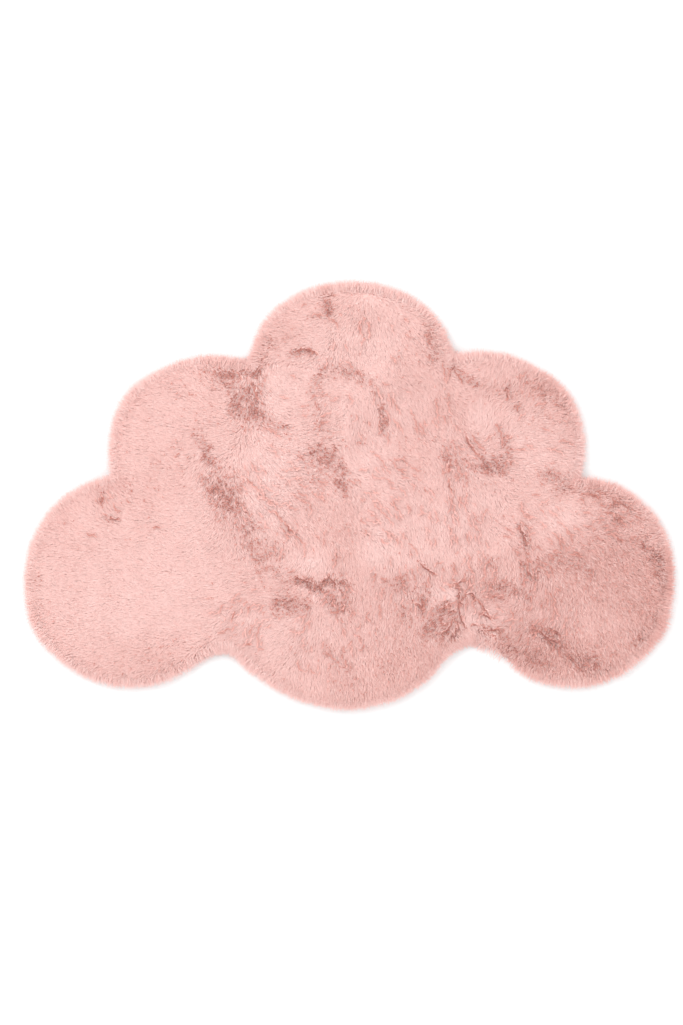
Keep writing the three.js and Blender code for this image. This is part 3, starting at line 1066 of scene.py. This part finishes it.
def fleck_strands(rng):
    """Short dark blades among the tips, painted shade where the pile is parted, and a few wherever the
    broad painted shade is dark.

    The chance of one at a net point grows with how far the pile is parted there.
    """
    x, y = net_points(FLECK_PITCH, rng)
    inside = cloud_field(x, y) < -7
    x, y = x[inside], y[inside]
    parted = np.clip(parted_share(x, y, ragged=0.45) * (1 + 0.8 * noise(x, y, 4.5, 90)), 0, 1)
    grain = dark_share(x, y)
    kept = rng.random(len(x)) < 0.68 * parted + 0.05 * grain
    x, y, parted = x[kept], y[kept], parted[kept]
    count = len(x)
    # Painted shade: the more parted, the darker the fleck.
    depth = np.clip(0.35 + 1.1 * parted, 0, 0.95)
    root_z = bed_top(x, y) + TIPS_ABOVE_BED * roll_share(-cloud_field(x, y))
    return dict(
        x=x, y=y, z=root_z, heading=lay_heading(x, y) + rng.normal(0, 0.9, count),
        start=rng.uniform(1.1, 1.4, count), end=rng.uniform(1.6, 1.9, count),
        length=rng.uniform(2.4, 4.6, count),
        gather=np.zeros((count, 2)), pull=np.zeros(count), curl=rng.normal(0, 0.2, count),
        roll=rng.normal(0, 0.3, count), width=rng.uniform(1.2, 2.1, count),
        tone=np.clip(FLECK_TONE - depth * rng.uniform(0.20, 0.60, count), 0.02, 0.98),
        up=np.tile((0.0, 0.0, 1.0), (count, 1)))


def chosen(strands, keep):
    """The strands that keep names, by mask or by order."""
    return {name: values[keep] for name, values in strands.items()}


# Strands of the smooth pile: their length in mm and their slopes at root and tip, in degrees from
# upright. Where the pile is ruffled through and through they are shorter and steeper by this much.
SMOOTH_LENGTH = 11.0
SMOOTH_SLOPES = (51, 86)
RUFFLED_LOSS = 4.5
RUFFLED_RISE = 40


def pile_strands(rng):
    """The strands of the flat of the pile, with their measures from the lay, marks and tones.

    Where the pile is parted its strands stand up, are shorter and gather into tufts, and show
    their roots' painted shade; elsewhere they lie nearly flat and light.
    """
    x, y = net_points(STRAND_PITCH, rng)
    field = cloud_field(x, y)
    inside = field < -8.5
    x, y, inset = x[inside], y[inside], -field[inside]
    count = len(x)
    tuft_x, tuft_y = tuft_of(x, y)
    parted = np.clip(parted_share(x, y, ragged=0.45) * (1 + 0.4 * noise(x, y, 5.5, 70)), 0, 1)
    broad = light_and_shade_sum(x, y)
    ruffled = np.clip(0.40 * parted + 0.32 * dark_share(x, y), 0, 1)
    uneven = np.clip(0.26 + 2.6 * ruffled, 0, 1)
    tuft_chance = tuft_chances(tuft_x, tuft_y, (72, 73, 74))

    heading = lay_heading(tuft_x, tuft_y) + (0.01 + 0.32 * ruffled) * tuft_chance[0]
    out_x, out_y = outward(x, y, 10.0)
    rim = ease(1 - (inset - 4) / 20)
    along = np.cos(heading) * (1 - 0.75 * rim) + out_x * rim
    across = np.sin(heading) * (1 - 0.75 * rim) + out_y * rim
    heading = np.arctan2(across, along) + rng.normal(0, 1, count) * (0.12 + 0.6 * ruffled)

    start = np.radians(SMOOTH_SLOPES[0] - RUFFLED_RISE * ruffled + 5 * ruffled * tuft_chance[1])
    start += rng.normal(0, 0.08, count) * uneven
    end = np.radians(SMOOTH_SLOPES[1] - RUFFLED_RISE * ruffled + 10 * rim) + rng.normal(0, 0.06, count)
    length = (SMOOTH_LENGTH - RUFFLED_LOSS * ruffled) * (1 + rng.uniform(-0.2, 0.2, count) * uneven)
    length = np.minimum(length, (inset - rim_loss(x, y)) * rng.uniform(0.85, 1.3, count))
    gather = np.stack([tuft_x - x, tuft_y - y], axis=-1)
    pull = np.clip(0.01 + 0.14 * ruffled + 0.01 * tuft_chance[2], 0, 0.8)

    # broad is painted light and shade, and the rim term is painted light that lightens the fur towards
    # the outline.
    tone = PILE_TONE + 0.44 * broad + 0.04 * parted + 0.11 * rim ** 2
    tone = tone + tuft_chance[1] * (0.005 + 0.035 * ruffled)
    tone = tone + rng.normal(0, 1, count) * (0.02 + 0.07 * uneven + 0.20 * ruffled + 0.16 * parted)
    # Painted shade: more dark strands where the pile is ruffled.
    tone = tone - (rng.random(count) < 0.03 + 0.08 * ruffled) * (0.07 + 0.48 * ruffled)
    root_z = bed_top(x, y) - ROOTS_BELOW_BED
    leaning = 0.2 * rim
    up = np.stack([out_x * leaning, out_y * leaning, np.ones(count)], axis=-1)
    return dict(
        x=x, y=y, z=root_z, heading=heading, start=start, end=end, length=length,
        gather=gather, pull=pull, curl=rng.normal(0, 0.10, count) * uneven + 0.05 * noise(x, y, 11, 75),
        roll=rng.normal(0, 0.30, count),
        width=rng.uniform(0.7, 1.3, count), tone=np.clip(tone, 0.02, 0.98), up=up)


def rim_loss(x, y):
    """How much shorter the rim's fur is, in mm: the sum of the worn places' bells."""
    loss = np.zeros_like(x)
    for cx, cy, radius, amount in zip(*WORN_RIM.values()):
        loss += amount * np.exp(-((x - cx) ** 2 + (y - cy) ** 2) / radius ** 2)
    return loss


# The rim's strands are rooted between these insets, in mm. To spread them evenly along the outline,
# this many times more angles are drawn, and each is kept with a chance that grows with the length
# of the outline there.
RIM_INSETS = (7.5, 16.0)
RIM_DRAWS = 7

# Slopes at root and tip of the innermost of them, in degrees from upright, and how much more the
# outermost lean
RIM_SLOPES = (58, 96)
RIM_LEAN = (14, 12)


def rim_strands(rng):
    """Strands rooted round the rim that fall outwards over the edge of the cloth to the floor."""
    angle = rng.uniform(0, 2 * math.pi, RIM_DRAWS * RIM_STRANDS)
    radius = reach(angle, np.zeros_like(angle))
    step = 1e-3
    there = reach(angle + step, np.zeros_like(angle))
    spread = np.hypot(radius, (there - radius) / step)
    angle = angle[rng.uniform(0, spread.max(), len(angle)) < spread][:RIM_STRANDS]
    count = len(angle)
    inset = rng.uniform(*RIM_INSETS, count)
    radius = reach(angle, inset)
    x, y = CENTRE[0] + radius * np.cos(angle), CENTRE[1] + radius * np.sin(angle)
    out_x, out_y = outward(x, y)
    tuft_x, tuft_y = tuft_of(x, y)
    tuft_chance = tuft_chances(tuft_x, tuft_y, (82, 83))
    parted = parted_share(x, y, ragged=0.3)
    share = (RIM_INSETS[1] - inset) / (RIM_INSETS[1] - RIM_INSETS[0])
    heading = np.arctan2(out_y, out_x) + 0.20 * tuft_chance[0] + rng.normal(0, 0.24, count)
    start = np.radians(RIM_SLOPES[0] + RIM_LEAN[0] * share) + rng.normal(0, 0.08, count)
    end = np.radians(RIM_SLOPES[1] + RIM_LEAN[1] * share) + rng.normal(0, 0.10, count)
    to_floor = np.maximum(inset + 1.2 - rim_loss(x, y) + tuft_chance[1], 4.0)
    length = to_floor * rng.uniform(0.72, 1.48, count)
    root_z = np.maximum(bed_top(x, y) * (1 - 0.55 * share), 1.2)
    # Painted light and shade: the outer strands lighter, painted light at the rim, and parted ones
    # darker.
    tone = RIM_TONE + 0.28 * share + 0.5 * light_and_shade_sum(x, y) - 0.30 * parted + rng.normal(0, 0.10, count)
    up = np.stack([out_x * 0.25, out_y * 0.25, np.ones(count)], axis=-1)
    gather = np.stack([tuft_x - x, tuft_y - y], axis=-1)
    return dict(
        x=x, y=y, z=root_z, heading=heading, start=start, end=end, length=length, gather=gather,
        pull=np.full(count, 0.06), curl=rng.normal(0, 0.08, count), roll=rng.normal(0, 0.25, count),
        width=rng.uniform(0.4, 0.9, count), tone=np.clip(tone, 0.02, 0.98), up=up)


def pile_pieces():
    """All strands as joined meshes: the flat of the pile in four parts, left to right, and the rim."""
    rng = np.random.default_rng(SEED)
    finish = fur_finish()
    parts = pile_strands(rng), crease_strands(rng), fleck_strands(rng)
    strands = {name: np.concatenate([part[name] for part in parts]) for name in parts[0]}
    order = np.argsort(strands["x"], kind="stable")
    names = ("pile_left", "pile_inner_left", "pile_inner_right", "pile_right")
    pieces = [strand_piece(name, chosen(strands, part), finish)
              for name, part in zip(names, np.array_split(order, len(names)))]
    return pieces + [strand_piece("pile_rim", rim_strands(rng), finish)]


def studio():
    """Pale floor, white surroundings and one broad soft light from the upper left."""
    half = 20.0
    mesh = bpy.data.meshes.new("floor")
    square = [(-half, -half, 0), (half, -half, 0), (half, half, 0), (-half, half, 0)]
    mesh.from_pydata(square, [], [(0, 1, 2, 3)])
    finish, _, _ = new_finish("white floor", {"Base Color": (*FLOOR_WHITE, 1), "Roughness": 0.9})
    mesh.materials.append(finish)
    floor = bpy.data.objects.new("floor", mesh)
    floor.location.z = -0.0004
    bpy.context.scene.collection.objects.link(floor)

    world = bpy.data.worlds.new("white room")
    world.use_nodes = True
    world.node_tree.nodes["Background"].inputs["Color"].default_value = (1, 1, 1, 1)
    world.node_tree.nodes["Background"].inputs["Strength"].default_value = 1.24
    bpy.context.scene.world = world

    lamp = bpy.data.lights.new("soft window", "AREA")
    lamp.shape = "DISK"
    lamp.size = 2.6
    lamp.energy = 30
    light = bpy.data.objects.new("soft window", lamp)
    light.location = (-1.9, 1.5, 2.4)
    light.rotation_mode = "QUATERNION"
    light.rotation_quaternion = (-light.location).to_track_quat("-Z", "Y")
    bpy.context.scene.collection.objects.link(light)

    bpy.context.scene.view_settings.view_transform = "Standard"
    bpy.context.scene.view_settings.look = "None"


def camera():
    """A camera straight above: the photograph's height covers view_height metres at the pile."""
    view_height = 1.4214
    distance = 3.0
    aim_x, aim_y, pile_level = -0.0097, -0.0229, 0.012
    lens = bpy.data.cameras.new("overhead")
    lens.sensor_width = 36.0
    lens.lens = lens.sensor_width * distance / view_height
    lens.clip_end = 100.0
    viewer = bpy.data.objects.new("overhead", lens)
    viewer.location = (aim_x, aim_y, distance + pile_level)
    bpy.context.scene.collection.objects.link(viewer)
    bpy.context.scene.camera = viewer


studio()
camera()
cloth = ground_cloth()
bed = pile_bed()
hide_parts("fur_rug")
pile = pile_pieces()
